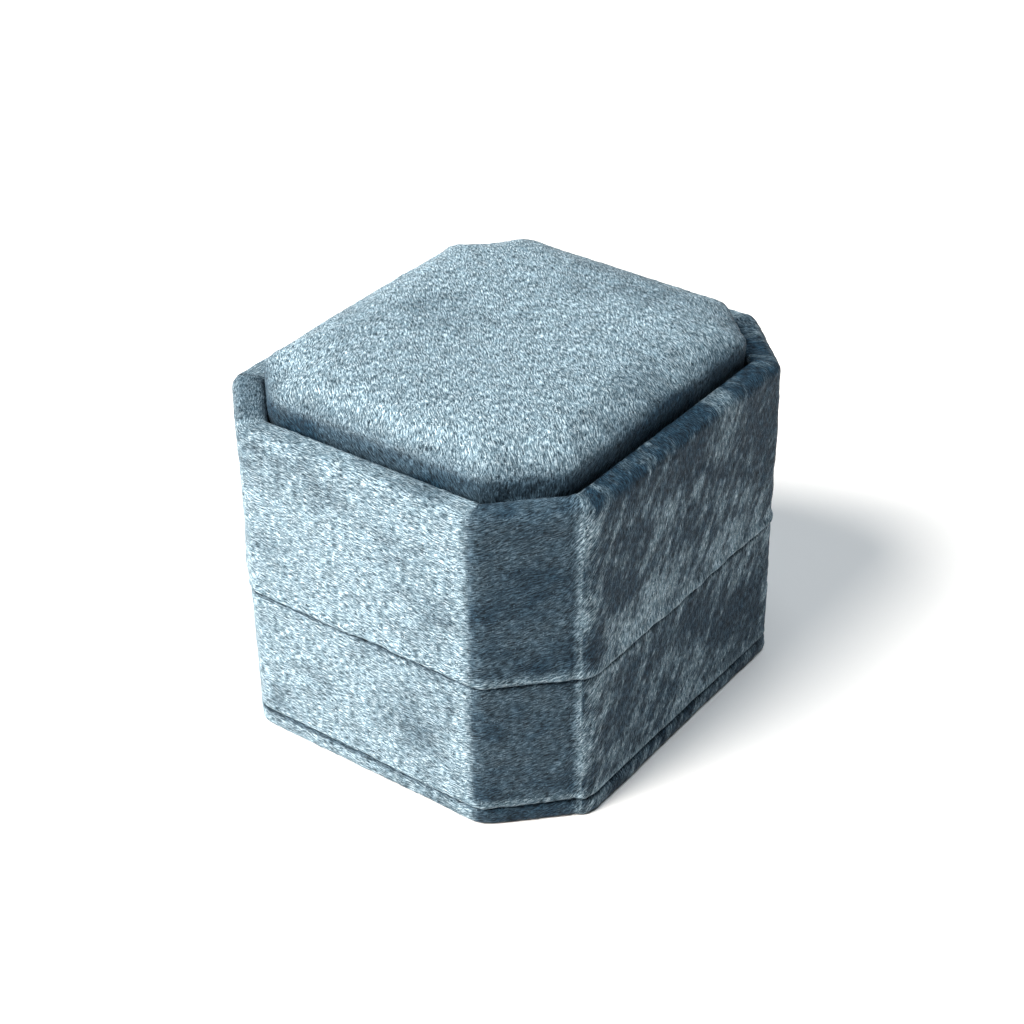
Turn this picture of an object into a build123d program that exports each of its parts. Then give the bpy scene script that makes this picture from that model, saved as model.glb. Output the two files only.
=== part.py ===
from build123d import *
from math import sqrt
import os

# A velvet ring box, closed. Millimetres, +Z up, origin at the middle of the underside.
# Seen from above it is a rectangle with its four corners cut off. The lid has no hinge:
# it lifts straight up off a collar that stands inside the base.

# Plan of the box
box_width = 57.0            # along X
box_depth = 51.0            # along Y
corner_cut = 9.1            # what each cut corner takes off both of its sides
corner_radius = 3.0         # the cloth rounds the upright edges
tightest_corner = 1.0       # inner outlines with a corner tighter than this keep it sharp

# Heights
base_height = 19.2          # from the table to the line where lid and base part
lid_height = 22.0           # from that line to the top of the lid's rim
cushion_rise = 4.2          # the cushion's top above the rim
collar_rise = 8.0           # how far the collar stands up inside the lid

# Cloth and board
velvet = 0.7                # velvet, glued down
lid_board = 1.8             # greyboard of the lid's walls and top panel
plate_board = 0.8           # board inside the foot plate
floor_board = 1.5           # floor of the base
collar_board = 1.5          # walls of the collar
pad_board = 1.5             # board under the ring pad
thin_board = 1.0            # boards inside the cushion and the ceiling pad
collar_clearance = 0.2      # running gap between the collar and the lid's lining
drop_in_clearance = 0.2     # gap round a padded piece that is glued into place
turn_in = 10.0              # velvet turned down inside the base's walls
turn_under = 6.0            # velvet turned under a padded piece

# Padded pieces
recess = 3.2                # depth of the tray in the lid's top, below the rim
groove = 0.7                # gap between the rim and the cushion
cushion_edge = 3.0          # rounding of the cushion's top edge
ceiling_foam = 1.5          # thin foam of the padded ceiling
pad_height = 15.0           # ring pad, from its board to its top
pad_edge = 2.6              # rounding of the ring pad's top edges
slot_width = 4.4            # slot for the rings, between the two rolls

# Rounded cloth edges
rim_edge = 1.5              # the lid's rim is a soft roll
fold_edge = 0.6             # where the velvet folds round a board's edge

# Insets: how far a face stands in from the outer face of the box
base_board = lid_board + collar_clearance
lid_bore = velvet + lid_board + velvet
collar_face = velvet + base_board + velvet
collar_core = collar_face + velvet
collar_back = collar_core + collar_board
collar_bore = collar_back + velvet
pad_face = collar_bore + drop_in_clearance
cushion_face = lid_bore + groove
ceiling_face = lid_bore + drop_in_clearance

# Levels
plate_top = velvet + plate_board + velvet
parting = base_height
floor_top = plate_top + floor_board
pad_seat = floor_top + pad_board
pad_top = pad_seat + pad_height
collar_top = parting + collar_rise
rim_top = parting + lid_height
tray = rim_top - recess
panel_bottom = tray - lid_board
crown = rim_top + cushion_rise
ceiling_back = panel_bottom - velvet
ceiling_front = ceiling_back - thin_board - ceiling_foam
ceiling = ceiling_front - velvet


def plan(inset):
    """The box's outline, moved in by inset; its rounded corners stay concentric."""
    half_width = box_width / 2 - inset
    half_depth = box_depth / 2 - inset
    cut = corner_cut - inset * (2 - sqrt(2))
    quarter = [(half_width, half_depth - cut), (half_width - cut, half_depth)]
    points = quarter
    points = points + [(-x, y) for x, y in reversed(quarter)]
    points = points + [(-x, -y) for x, y in quarter]
    points = points + [(x, -y) for x, y in reversed(quarter)]
    outline = make_face(Polyline(*points, close=True))
    radius = corner_radius - inset
    if radius > tightest_corner:
        outline = fillet(outline.vertices(), radius)
    return outline


def block(inset, bottom, top):
    """A solid block with the box's outline, moved in by inset."""
    return extrude(Pos(0, 0, bottom) * plan(inset), amount=top - bottom)


def ring(outer, inner, bottom, top):
    """An upright wall between two insets."""
    return block(outer, bottom, top) - block(inner, bottom, top)


def top_edges(solid):
    """The edges round the highest face."""
    return solid.faces().sort_by(Axis.Z)[-1].edges()


def bottom_edges(solid):
    """The edges round the lowest face."""
    return solid.faces().sort_by(Axis.Z)[0].edges()


def padded(inset, bottom, top, edge):
    """A block with its top edges rounded, as a padded piece has them."""
    solid = block(inset, bottom, top)
    return fillet(top_edges(solid), edge)


def save(solid, node):
    """One closed solid to its own file, named for its node."""
    export_step(solid.clean(), os.path.join("parts", node + ".step"))


def foot_plate():
    """The board under the box and the velvet that wraps it."""
    board = block(velvet, velvet, velvet + plate_board)
    outer = block(0, 0, plate_top)
    outer = fillet(top_edges(outer) + bottom_edges(outer), fold_edge)
    window = block(velvet + turn_under, velvet, plate_top)
    save(board, "base_plate_board")
    save(outer - board - window, "base_plate_cover")


def base_walls():
    """The base's board walls, with velvet over the outside and turned in at both ends."""
    board_face = velvet
    board_back = velvet + base_board
    frame = ring(board_face, board_back, plate_top + velvet, parting - velvet)
    outer = block(0, plate_top, parting)
    outer = fillet(top_edges(outer) + bottom_edges(outer), fold_edge)
    below_turn_in = block(board_back, plate_top, parting - turn_in)
    bore = block(collar_face, plate_top, parting)
    save(frame, "base_frame")
    save(outer - frame - below_turn_in - bore, "base_side_wrap")
    save(block(board_back, plate_top, floor_top), "base_floor_board")


def collar():
    """The upstanding collar that the lid slides down over."""
    board = ring(collar_core, collar_back, floor_top, collar_top - velvet)
    outer = padded(collar_face, floor_top, collar_top, fold_edge)
    bore = block(collar_bore, floor_top, collar_top)
    save(board, "collar_board")
    save(outer - board - bore, "collar_wrap")


def roll(side, inset, top, edge):
    """Half of the ring pad on one side of the slot: side is -1 in front, +1 behind."""
    cloth = inset - pad_face
    whole = block(inset, pad_seat, top)
    near = slot_width / 2 + cloth
    half = Pos(0, side * (near + box_depth / 2), 0) * Box(box_width, box_depth, 2 * top)
    piece = whole & half
    return fillet(top_edges(piece), edge)


def ring_pad():
    """A board with two velvet-covered foam rolls on it, and the slot between them."""
    save(block(pad_face, floor_top, pad_seat), "ring_pad_board")
    for side, place in ((-1, "front"), (1, "back")):
        cover = roll(side, pad_face, pad_top, pad_edge)
        foam = roll(side, pad_face + velvet, pad_top - velvet, pad_edge - velvet)
        save(foam, "ring_pad_foam_" + place)
        save(cover - foam, "ring_pad_cover_" + place)


def lid_walls():
    """The lid's board walls, the velvet over them, its lining and the panel in its top."""
    board_back = velvet + lid_board
    frame = ring(velvet, board_back, parting + velvet, rim_top - velvet)
    outer = block(0, parting, rim_top)
    outer = fillet(bottom_edges(outer), fold_edge)
    below_tray = block(board_back, parting, tray)
    bore = block(lid_bore, parting, rim_top)
    wrap = outer - below_tray - bore
    wrap = fillet(top_edges(wrap), rim_edge)
    save(frame, "lid_frame")
    save(wrap - frame, "lid_side_wrap")
    save(block(board_back, panel_bottom, tray), "lid_panel")
    save(ring(board_back, lid_bore, parting, panel_bottom), "lid_lining")


def cushion():
    """The cushion that lies in the tray on top of the lid and stands proud of the rim."""
    core_bottom = tray + velvet
    board_top = core_bottom + thin_board
    core_face = cushion_face + velvet
    cover = padded(cushion_face, tray, crown, cushion_edge)
    core = padded(core_face, core_bottom, crown - velvet, cushion_edge - velvet)
    window = block(core_face + turn_under, tray, core_bottom)
    board = block(core_face, core_bottom, board_top)
    save(board, "cushion_board")
    save(core - board, "cushion_foam")
    save(cover - core - window, "cushion_cover")


def ceiling_pad():
    """The thin padded ceiling glued under the lid's panel."""
    core_face = ceiling_face + velvet
    board_bottom = ceiling_back - thin_board
    cover = block(ceiling_face, ceiling, panel_bottom)
    cover = fillet(bottom_edges(cover), fold_edge)
    core = block(core_face, ceiling_front, ceiling_back)
    window = block(core_face + turn_under, ceiling_back, panel_bottom)
    save(block(core_face, board_bottom, ceiling_back), "ceiling_board")
    save(block(core_face, ceiling_front, board_bottom), "ceiling_foam")
    save(cover - core - window, "ceiling_cover")


os.makedirs("parts", exist_ok=True)
foot_plate()
base_walls()
collar()
ring_pad()
lid_walls()
cushion()
ceiling_pad()
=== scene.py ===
import math
import bmesh
import bpy
import numpy as np
from mathutils import Matrix, Vector


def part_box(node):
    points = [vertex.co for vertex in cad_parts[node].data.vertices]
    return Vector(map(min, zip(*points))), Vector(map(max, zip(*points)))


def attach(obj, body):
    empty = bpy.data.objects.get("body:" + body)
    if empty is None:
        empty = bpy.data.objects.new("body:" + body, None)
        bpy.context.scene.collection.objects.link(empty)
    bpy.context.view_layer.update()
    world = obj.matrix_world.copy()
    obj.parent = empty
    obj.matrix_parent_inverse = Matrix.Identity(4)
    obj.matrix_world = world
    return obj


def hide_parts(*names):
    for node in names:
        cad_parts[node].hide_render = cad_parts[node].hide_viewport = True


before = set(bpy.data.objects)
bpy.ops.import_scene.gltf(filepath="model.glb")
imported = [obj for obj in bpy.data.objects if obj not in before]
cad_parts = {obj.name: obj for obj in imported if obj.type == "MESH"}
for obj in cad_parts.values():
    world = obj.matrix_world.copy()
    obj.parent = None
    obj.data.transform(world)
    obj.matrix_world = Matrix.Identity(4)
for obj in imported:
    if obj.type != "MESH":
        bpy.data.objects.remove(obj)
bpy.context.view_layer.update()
mm = 0.001
print("frame loaded:", len(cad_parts), "nodes")


def insetOf(node):  # how far the node's outline stands in from the outside of the lid
    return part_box("lid_side_wrap")[1][0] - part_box(node)[1][0]


def levelsOf(node):
    low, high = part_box(node)
    return low[2], high[2]


def nodePoints(node):
    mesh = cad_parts[node].data
    flat = np.empty(len(mesh.vertices) * 3)
    mesh.vertices.foreach_get("co", flat)
    return flat.reshape(-1, 3)


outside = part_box("lid_side_wrap")[1]
plan = {
    "halfWidth": outside[0],
    "halfDepth": outside[1],
    "cornerCut": outside[0] + outside[1] - nodePoints("lid_side_wrap")[:, :2].sum(1).max(),
    "cornerRadius": 2.8 * mm,   # how the cloth rounds the upright edges
    "tightest": 0.5 * mm,       # the least radius left on an inner outline
    "columnSpacing": 0.29 * mm,
    "cornerColumns": 9,
}
velvetThick = insetOf("lid_frame")
lidBore = insetOf("lid_lining") + velvetThick


# The eight corners of the box seen from above, anticlockwise from the front right end of the
# near cut: each is the full half width and half depth, less the inset, less the cut on one side.
def boxCorners(inset):
    inset = np.asarray(inset, float)[..., None]
    signX = np.array([-1, 1, 1, 1, 1, -1, -1, -1])
    signY = np.array([-1, -1, -1, 1, 1, 1, 1, -1])
    cutX = np.array([1, 1, 0, 0, 1, 1, 0, 0])
    cut = plan["cornerCut"] - inset * (2 - math.sqrt(2))
    x = signX * (plan["halfWidth"] - inset - cutX * cut)
    y = signY * (plan["halfDepth"] - inset - (1 - cutX) * cut)
    return np.stack([x, y], -1)


# Half of that outline on one side of the ring slot: the four corners past the slot's face
# and the two where the slot's face meets the sides. side is -1 in front of it, 1 behind.
def rollCorners(inset, slotFace, side):
    whole = boxCorners(inset)
    near = np.full_like(whole[..., 0, 1], side * slotFace)
    if side < 0:
        kept = whole[..., [7, 0, 1, 2], :]
    else:
        kept = whole[..., [3, 4, 5, 6], :]
    last = np.stack([kept[..., 3, 0], near], -1)[..., None, :]
    first = np.stack([kept[..., 0, 0], near], -1)[..., None, :]
    return np.concatenate([kept, last, first], -2)


# Shares out the columns of a grid: an arc at each corner, then the straight run after it.
# Gives for each column its corner, whether it lies on the arc, and how far along it is, 0 to 1.
def shareColumns(corners, spacing, cornerColumns):
    runs = np.linalg.norm(np.roll(corners, -1, 0) - corners, axis=1)
    straight = np.maximum(2, np.round(runs / spacing)).astype(int)
    counts = np.stack([np.full_like(straight, cornerColumns), straight], 1).ravel()
    starts = np.cumsum(counts) - counts
    segment = np.repeat(np.arange(len(counts)), counts)
    share = (np.arange(counts.sum()) - starts[segment]) / counts[segment]
    return {"corner": segment // 2, "onArc": segment % 2 == 0, "share": share}


# Rounded outlines, one for each row. At each corner an arc of the row's radius touches the runs
# before and after it: its centre is the corner less radius times the sum of the two outward
# normals over one plus their dot product. Straight runs join the arcs' ends.
def roundedOutline(corners, radius, columns):
    ahead = np.roll(corners, -1, -2) - corners
    ahead = ahead / np.linalg.norm(ahead, axis=-1, keepdims=True)
    normalAfter = np.stack([ahead[..., 1], -ahead[..., 0]], -1)
    normalBefore = np.roll(normalAfter, 1, -2)
    facing = (normalAfter * normalBefore).sum(-1, keepdims=True)
    radius = np.asarray(radius, float)[..., None, None]
    centre = corners - radius * (normalAfter + normalBefore) / (1 + facing)
    startAngle = np.arctan2(normalBefore[..., 1], normalBefore[..., 0])
    turn = np.arccos(np.clip(facing[..., 0], -1, 1))
    at = columns["corner"]
    share = columns["share"]
    angle = startAngle[..., at] + share * turn[..., at]
    arc = centre[..., at, :] + radius * np.stack([np.cos(angle), np.sin(angle)], -1)
    arcEnd = centre + radius * normalAfter
    nextStart = np.roll(centre + radius * normalBefore, -1, -2)
    straight = arcEnd[..., at, :] + share[:, None] * (nextStart - arcEnd)[..., at, :]
    return np.where(columns["onArc"][:, None], arc, straight)


boxColumns = shareColumns(boxCorners(0.0), plan["columnSpacing"], plan["cornerColumns"])


# Profiles are rows of (inset, height). A bend is an arc about a centre: the inset is the centre's
# less radius times cosine, the height the centre's plus radius times sine. A run is a straight line.
# The last value of each is its number of rows: few where it is flat or hidden, more round a fold.
def bend(inset, height, radius, fromAngle, toAngle, rows):
    angle = np.radians(np.linspace(fromAngle, toAngle, rows, endpoint=False))
    return np.stack([inset - radius * np.cos(angle), height + radius * np.sin(angle)], 1)


def run(start, end, rows):
    return np.linspace(start, end, rows, endpoint=False)


# Carries a profile round the box: row by row the outline at the row's inset, at the row's height.
# share draws a row towards the middle, for a flat closed underside.
def carryRound(profile, radius, share=None, columns=boxColumns, corners=boxCorners):
    inset = profile[:, 0]
    flat = roundedOutline(corners(inset), np.maximum(radius - inset, plan["tightest"]), columns)
    if share is not None:
        flat = flat * share[:, None, None]
    height = np.broadcast_to(profile[:, 1, None, None], flat.shape[:2] + (1,))
    return np.concatenate([flat, height], -1)


# Distance along the grid in metres: round the box measured on one row, and along the profile
# measured down one column.
def gridDistances(grid, row):
    ring = np.vstack([grid[row], grid[row, :1]])
    around = np.concatenate([[0], np.cumsum(np.linalg.norm(np.diff(ring, axis=0), axis=1))])
    up = np.concatenate([grid[:, 0], grid[:1, 0]])
    along = np.concatenate([[0], np.cumsum(np.linalg.norm(np.diff(up, axis=0), axis=1))])
    return around, along


# Outward direction at each grid point: the cross product of the step round and the step along.
def gridNormals(grid):
    acrossStep = np.roll(grid, -1, 1) - np.roll(grid, 1, 1)
    alongStep = np.roll(grid, -1, 0) - np.roll(grid, 1, 0)
    normal = np.cross(acrossStep, alongStep)
    return normal / np.maximum(np.linalg.norm(normal, axis=-1, keepdims=True), 1e-15)


# Random heights from -1 to 1: random numbers on a lattice of cells, joined by 3t^2 - 2t^3.
# The lattice closes on itself after loop metres along u.
def softNoise(u, v, cellU, cellV, loop, seed):
    across = max(3, int(round(loop / cellU)))
    x = u / loop * across
    y = (v - v.min()) / cellV
    ix, iy = np.floor(x).astype(int), np.floor(y).astype(int)
    fx, fy = x - ix, y - iy
    fx, fy = fx * fx * (3 - 2 * fx), fy * fy * (3 - 2 * fy)
    lattice = np.random.default_rng(seed).uniform(-1, 1, (iy.max() + 2, across))
    left, right = ix % across, (ix + 1) % across
    low = lattice[iy, left] * (1 - fx) + lattice[iy, right] * fx
    high = lattice[iy + 1, left] * (1 - fx) + lattice[iy + 1, right] * fx
    return low * (1 - fy) + high * fy


def smoothStep(x, start, end):  # 0 before start, 1 after end, a soft S between them
    t = np.clip((x - start) / (end - start), 0, 1)
    return t * t * (3 - 2 * t)


# The faces of a grid that is closed round and, unless it ends in two poles, along. Each joins two
# neighbours on one row k to the two above them; j counts round the row.
def gridFaces(rows, cols, closeRows):
    k, j = np.meshgrid(np.arange(rows if closeRows else rows - 1), np.arange(cols), indexing="ij")
    k, j = k.ravel(), j.ravel()
    kNext, jNext = (k + 1) % rows, (j + 1) % cols
    faces = np.stack([k * cols + j, k * cols + jNext, kNext * cols + jNext, kNext * cols + j], 1)
    return faces, k, j


def gridMesh(name, grid, faces):
    mesh = bpy.data.meshes.new(name)
    mesh.from_pydata(grid.reshape(-1, 3).tolist(), [], faces.tolist())
    return mesh


def setAttribute(mesh, label, value):
    layer = mesh.attributes.get(label) or mesh.attributes.new(label, "FLOAT", "POINT")
    layer.data.foreach_set("value", np.ascontiguousarray(value, dtype=np.float32).ravel())


# Puts a grid into an object, with the distances round and along it as its UV map "nap", and each
# named value as a point attribute.
def gridObject(name, grid, around, along, values, closeRows=True):
    faces, k, j = gridFaces(*grid.shape[:2], closeRows)
    mesh = gridMesh(name, grid, faces)
    u = np.stack([around[j], around[j + 1], around[j + 1], around[j]], 1)
    v = np.stack([along[k], along[k], along[k + 1], along[k + 1]], 1)
    nap = mesh.uv_layers.new(name="nap")
    nap.data.foreach_set("uv", np.stack([u, v], -1).ravel())
    for label, value in values.items():
        setAttribute(mesh, label, value)
    if not closeRows:
        weld(mesh)
    mesh.shade_smooth()
    obj = bpy.data.objects.new(name, mesh)
    bpy.context.scene.collection.objects.link(obj)
    return obj


def weld(mesh):  # joins the points that meet in a pole
    work = bmesh.new()
    work.from_mesh(mesh)
    bmesh.ops.remove_doubles(work, verts=work.verts, dist=0.001 * mm)
    work.to_mesh(mesh)
    work.free()


def dress(obj, material, body, slot, *nodes):
    obj.data.materials.clear()
    obj.data.materials.append(material)
    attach(obj, body)
    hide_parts(*nodes)


def link(tree, source, target):
    tree.links.new(source, target)


def maths(tree, operation, first, second=None, third=None, clamp=False):
    node = tree.nodes.new("ShaderNodeMath")
    node.operation = operation
    node.use_clamp = clamp
    for socket, value in zip(node.inputs, (first, second, third)):
        if value is None:
            continue
        if isinstance(value, (int, float)):
            socket.default_value = value
        else:
            link(tree, value, socket)
    return node.outputs[0]


def vectorMaths(tree, operation, first, second=None, scale=None):
    node = tree.nodes.new("ShaderNodeVectorMath")
    node.operation = operation
    for socket, value in zip(node.inputs, (first, second)):
        if value is None:
            continue
        if isinstance(value, (tuple, list)):
            socket.default_value = value
        else:
            link(tree, value, socket)
    if scale is not None:
        node.inputs["Scale"].default_value = scale
    return node.outputs["Value"] if operation == "DOT_PRODUCT" else node.outputs["Vector"]


def noise(tree, vector, scale, detail, rough, flat=True):
    node = tree.nodes.new("ShaderNodeTexNoise")
    node.noise_dimensions = "2D" if flat else "3D"
    node.inputs["Scale"].default_value = scale
    node.inputs["Detail"].default_value = detail
    node.inputs["Roughness"].default_value = rough
    link(tree, vector, node.inputs["Vector"])
    return node


def spread(tree, value, low, high, toLow=0.0, toHigh=1.0, smooth=False):
    node = tree.nodes.new("ShaderNodeMapRange")
    node.interpolation_type = "SMOOTHSTEP" if smooth else "LINEAR"
    node.clamp = True
    link(tree, value, node.inputs["Value"])
    node.inputs["From Min"].default_value = low
    node.inputs["From Max"].default_value = high
    node.inputs["To Min"].default_value = toLow
    node.inputs["To Max"].default_value = toHigh
    return node.outputs["Result"]


def mixColours(tree, factor, first, second, blend="MIX"):
    node = tree.nodes.new("ShaderNodeMix")
    node.data_type = "RGBA"
    node.blend_type = blend
    for socket, value in ((node.inputs[0], factor), (node.inputs[6], first), (node.inputs[7], second)):
        if isinstance(value, (int, float)):
            socket.default_value = value
        elif isinstance(value, tuple):
            socket.default_value = (*value, 1)
        else:
            link(tree, value, socket)
    return node.outputs[2]


def newMaterial(name):
    material = bpy.data.materials.new(name)
    material.use_nodes = True
    tree = material.node_tree
    shader = tree.nodes["Principled BSDF"]
    return material, tree, shader


def attribute(tree, name):
    node = tree.nodes.new("ShaderNodeAttribute")
    node.attribute_name = name
    return node.outputs["Fac"]


velvetLook = {
    "root": (0.004, 0.013, 0.022),      # painted shade down between the hairs
    "hair": (0.118, 0.184, 0.228),      # most of the pile
    "tip": (0.46, 0.56, 0.62),          # painted highlight on hairs that catch the light
    "crushedAndShaded": (0.055, 0.115, 0.165),   # what a patch brushed the other way keeps of its colour; painted shade uses it too
    "hairLength": 0.82,                 # mm
    "hairWidth": 0.145,                 # mm
    "napAngles": (-4, 16, 48, 76),      # degrees, for napTurn 0, 1, 2, 3
    "layerShift": (31.7, 17.3),         # mm, so that no two layers share their hairs
    "wander": 0.45,                     # mm, how far the pile's lines stray
    "wanderScale": 0.45,                # bends to a mm
    "grain": 0.2,                       # mm, the ends of single hairs
    "grainShare": 0.2,                  # of the pile's height
    "litFrom": 0.31,                    # height of the pile at which it begins to catch the light
    "litFully": 0.70,
    "clumpSize": 1.7,                   # mm
    "clumpShade": (0.72, 1.15),         # how dark and how light a clump of hairs may be
    "glintSpacing": 0.34,               # mm
    "glintRare": (0.93, 0.96),          # the nearer to 1, the fewer
    "glintSpot": (0.32, 0.18),          # in spacings: where a glint fades out, and where it is full
    "glintStrength": 0.75,
    "pileDepth": 0.12 * mm,
    "pileStrength": 0.9,
    "specular": 0.12,
    "sheen": 0.04,
    "sheenRoughness": 0.35,
    "sheenTint": (0.70, 0.88, 1.0),
    "roughness": (0.42, 0.85),
}


# The height of the pile, 0 to 1: hairs are noise drawn out along the nap, one layer for each nap
# direction, weighed by how near napTurn is to the layer's number. The sum is divided by the root of
# the weights' squares, so that its contrast stays the same between two layers, and grain is mixed in.
def pileHeight(tree, place, look):
    napTurn = attribute(tree, "napTurn")
    shiftX, shiftY = look["layerShift"]
    hairs, squares = None, None
    for number, angle in enumerate(look["napAngles"]):
        mapping = tree.nodes.new("ShaderNodeMapping")
        mapping.vector_type = "TEXTURE"
        mapping.inputs["Rotation"].default_value = (0, 0, math.radians(angle))
        mapping.inputs["Scale"].default_value = (look["hairLength"], look["hairWidth"], 1)
        mapping.inputs["Location"].default_value = (shiftX * number, shiftY * number, 0)
        link(tree, place, mapping.inputs["Vector"])
        layer = noise(tree, mapping.outputs["Vector"], 1.0, 2.5, 0.6)
        near = maths(tree, "ABSOLUTE", maths(tree, "SUBTRACT", napTurn, float(number)))
        weight = maths(tree, "SUBTRACT", 1.0, near, clamp=True)
        part = maths(tree, "MULTIPLY", layer.outputs["Fac"], weight)
        square = maths(tree, "MULTIPLY", weight, weight)
        hairs = part if hairs is None else maths(tree, "ADD", hairs, part)
        squares = square if squares is None else maths(tree, "ADD", squares, square)
    evened = maths(tree, "DIVIDE", maths(tree, "SUBTRACT", hairs, 0.5), maths(tree, "SQRT", squares))
    hairs = maths(tree, "ADD", evened, 0.5)
    grain = noise(tree, place, 1 / look["grain"], 2, 0.6)
    hairs = maths(tree, "MULTIPLY", hairs, 1 - look["grainShare"])
    return maths(tree, "MULTIPLY_ADD", grain.outputs["Fac"], look["grainShare"], hairs)


# Painted glints: single bright hairs painted into the colour as highlights, the middles of a few
# cells of a cell pattern, picked by the cells' own chance.
def glints(tree, place, look):
    cells = tree.nodes.new("ShaderNodeTexVoronoi")
    cells.voronoi_dimensions = "2D"
    cells.inputs["Scale"].default_value = 1 / look["glintSpacing"]
    link(tree, place, cells.inputs["Vector"])
    chance = vectorMaths(tree, "DOT_PRODUCT", cells.outputs["Color"], (1, 0, 0))
    rare = spread(tree, chance, *look["glintRare"])
    spot = spread(tree, cells.outputs["Distance"], *look["glintSpot"])
    return maths(tree, "MULTIPLY", maths(tree, "MULTIPLY", rare, spot), look["glintStrength"])


# Velvet: its colour goes from root to hair to tip with the height of the pile, painted shade at the
# roots and a painted highlight at the tips; it is shaded by clumps of hair, takes the painted glints,
# and darkens where its attribute of crushed patches and painted shade is high.
def velvetMaterial(name, look):
    material, tree, shader = newMaterial(name)
    uv = tree.nodes.new("ShaderNodeUVMap")
    uv.uv_map = "nap"
    place = vectorMaths(tree, "SCALE", uv.outputs["UV"], scale=1 / mm)
    stray = noise(tree, place, look["wanderScale"], 2, 0.5)
    push = vectorMaths(tree, "SUBTRACT", stray.outputs["Color"], (0.5, 0.5, 0.5))
    place = vectorMaths(tree, "ADD", place, vectorMaths(tree, "SCALE", push, scale=look["wander"]))
    height = pileHeight(tree, place, look)
    lit = spread(tree, height, look["litFrom"], look["litFully"])
    colour = mixColours(tree, spread(tree, lit, 0.0, 0.55), look["root"], look["hair"])
    colour = mixColours(tree, spread(tree, lit, 0.5, 1.0), colour, look["tip"])
    clump = noise(tree, place, 1 / look["clumpSize"], 3, 0.6)
    clumpShade = spread(tree, clump.outputs["Fac"], 0.3, 0.7, *look["clumpShade"])
    shade = tree.nodes.new("ShaderNodeCombineColor")
    for socket in shade.inputs:
        link(tree, clumpShade, socket)
    colour = mixColours(tree, 1.0, colour, shade.outputs[0], "MULTIPLY")
    # painted glints, highlights mixed into the colour
    colour = mixColours(tree, glints(tree, place, look), colour, look["tip"])
    # darker where crushed patches and painted shade lie
    crushedAndShaded = mixColours(tree, 1.0, colour, look["crushedAndShaded"], "MULTIPLY")
    colour = mixColours(tree, attribute(tree, "crushAndShade"), colour, crushedAndShaded)
    link(tree, colour, shader.inputs["Base Color"])
    low, high = look["roughness"]
    link(tree, spread(tree, lit, 0.0, 1.0, high, low), shader.inputs["Roughness"])
    shader.inputs["Specular IOR Level"].default_value = look["specular"]
    shader.inputs["Sheen Weight"].default_value = look["sheen"]
    shader.inputs["Sheen Roughness"].default_value = look["sheenRoughness"]
    shader.inputs["Sheen Tint"].default_value = (*look["sheenTint"], 1)
    bump = tree.nodes.new("ShaderNodeBump")
    bump.inputs["Strength"].default_value = look["pileStrength"]
    bump.inputs["Distance"].default_value = look["pileDepth"]
    link(tree, height, bump.inputs["Height"])
    link(tree, bump.outputs["Normal"], shader.inputs["Normal"])
    return material


boardLook = {
    "pale": (0.40, 0.38, 0.34),
    "dark": (0.27, 0.255, 0.23),
    "fleck": (0.13, 0.12, 0.11),
    "fibre": 0.35,      # mm
    "relief": 0.05 * mm,
}


# Greyboard: matted fibres from drawn-out noise, with a few dark flecks of old print.
def boardMaterial(name, look):
    material, tree, shader = newMaterial(name)
    coords = tree.nodes.new("ShaderNodeTexCoord")
    place = vectorMaths(tree, "SCALE", coords.outputs["Object"], scale=1 / mm)
    fibres = noise(tree, place, 1 / look["fibre"], 4, 0.65, flat=False)
    cloud = noise(tree, place, 0.3, 2, 0.5, flat=False)
    colour = mixColours(tree, spread(tree, fibres.outputs["Fac"], 0.3, 0.7), look["dark"], look["pale"])
    flecks = noise(tree, place, 1.1, 2, 0.4, flat=False)
    dark = spread(tree, flecks.outputs["Fac"], 0.68, 0.74)
    colour = mixColours(tree, dark, colour, look["fleck"])
    link(tree, colour, shader.inputs["Base Color"])
    link(tree, spread(tree, cloud.outputs["Fac"], 0.3, 0.7, 0.82, 0.95), shader.inputs["Roughness"])
    bump = tree.nodes.new("ShaderNodeBump")
    bump.inputs["Distance"].default_value = look["relief"]
    link(tree, fibres.outputs["Fac"], bump.inputs["Height"])
    link(tree, bump.outputs["Normal"], shader.inputs["Normal"])
    return material


velvet = velvetMaterial("dusty blue velvet", velvetLook)
liningLook = dict(velvetLook, hairLength=0.4, hairWidth=0.12, pileDepth=0.07 * mm,
                  hair=(0.09, 0.15, 0.195), tip=(0.19, 0.29, 0.36), sheen=0.12)
lining = velvetMaterial("short pile lining", liningLook)
greyboard = boardMaterial("greyboard", boardLook)
print("materials made")

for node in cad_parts.values():
    node.data.materials.clear()
    node.data.materials.append(greyboard)


lidCloth = {
    "rimRoll": 1.25 * mm,       # the soft roll round the top, outside
    "rimInner": 1.0 * mm,       # and inside
    "rimPile": 0.45 * mm,       # how far the pile stands into the tray
    "foldRadius": 0.75 * mm,    # where it folds under the bottom edge
    "lipBulge": 0.28 * mm,      # the pile opens over that fold
    "lipHeight": 0.7 * mm,
    "lipReach": 0.55 * mm,
    "rowSpacing": 0.29 * mm,
    "lipUneven": 0.5,
    "tuft": 0.045 * mm,         # how high the tufts, clumps and waves of the pile stand
    "clump": 0.05 * mm,
    "wave": 0.13 * mm,
    "tuftSize": (0.6 * mm, 0.45 * mm),      # along the strip and up it
    "clumpSize": (1.9 * mm, 1.2 * mm),
    "waveSize": (10 * mm, 8 * mm),
    "hiddenDip": 0.02 * mm,     # the glued side lies this far in, off its neighbour
    "seamRidge": 0.08 * mm,
    "seamWidth": 0.55 * mm,
    "seamDrift": 0.25 * mm,
    "creases": (1, 0),          # whether painted shade darkens the fold at the bottom, at the top
    "creaseWidth": 0.6 * mm,
    "creaseShade": 0.85,
    "rimShade": {"nearCut": 0.85, "leftCut": 0.65, "front": 0.5},
    "flatLength": 32 * mm,      # the strip's height pulled flat, with what is turned in
    "seed": 11,
}


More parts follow.
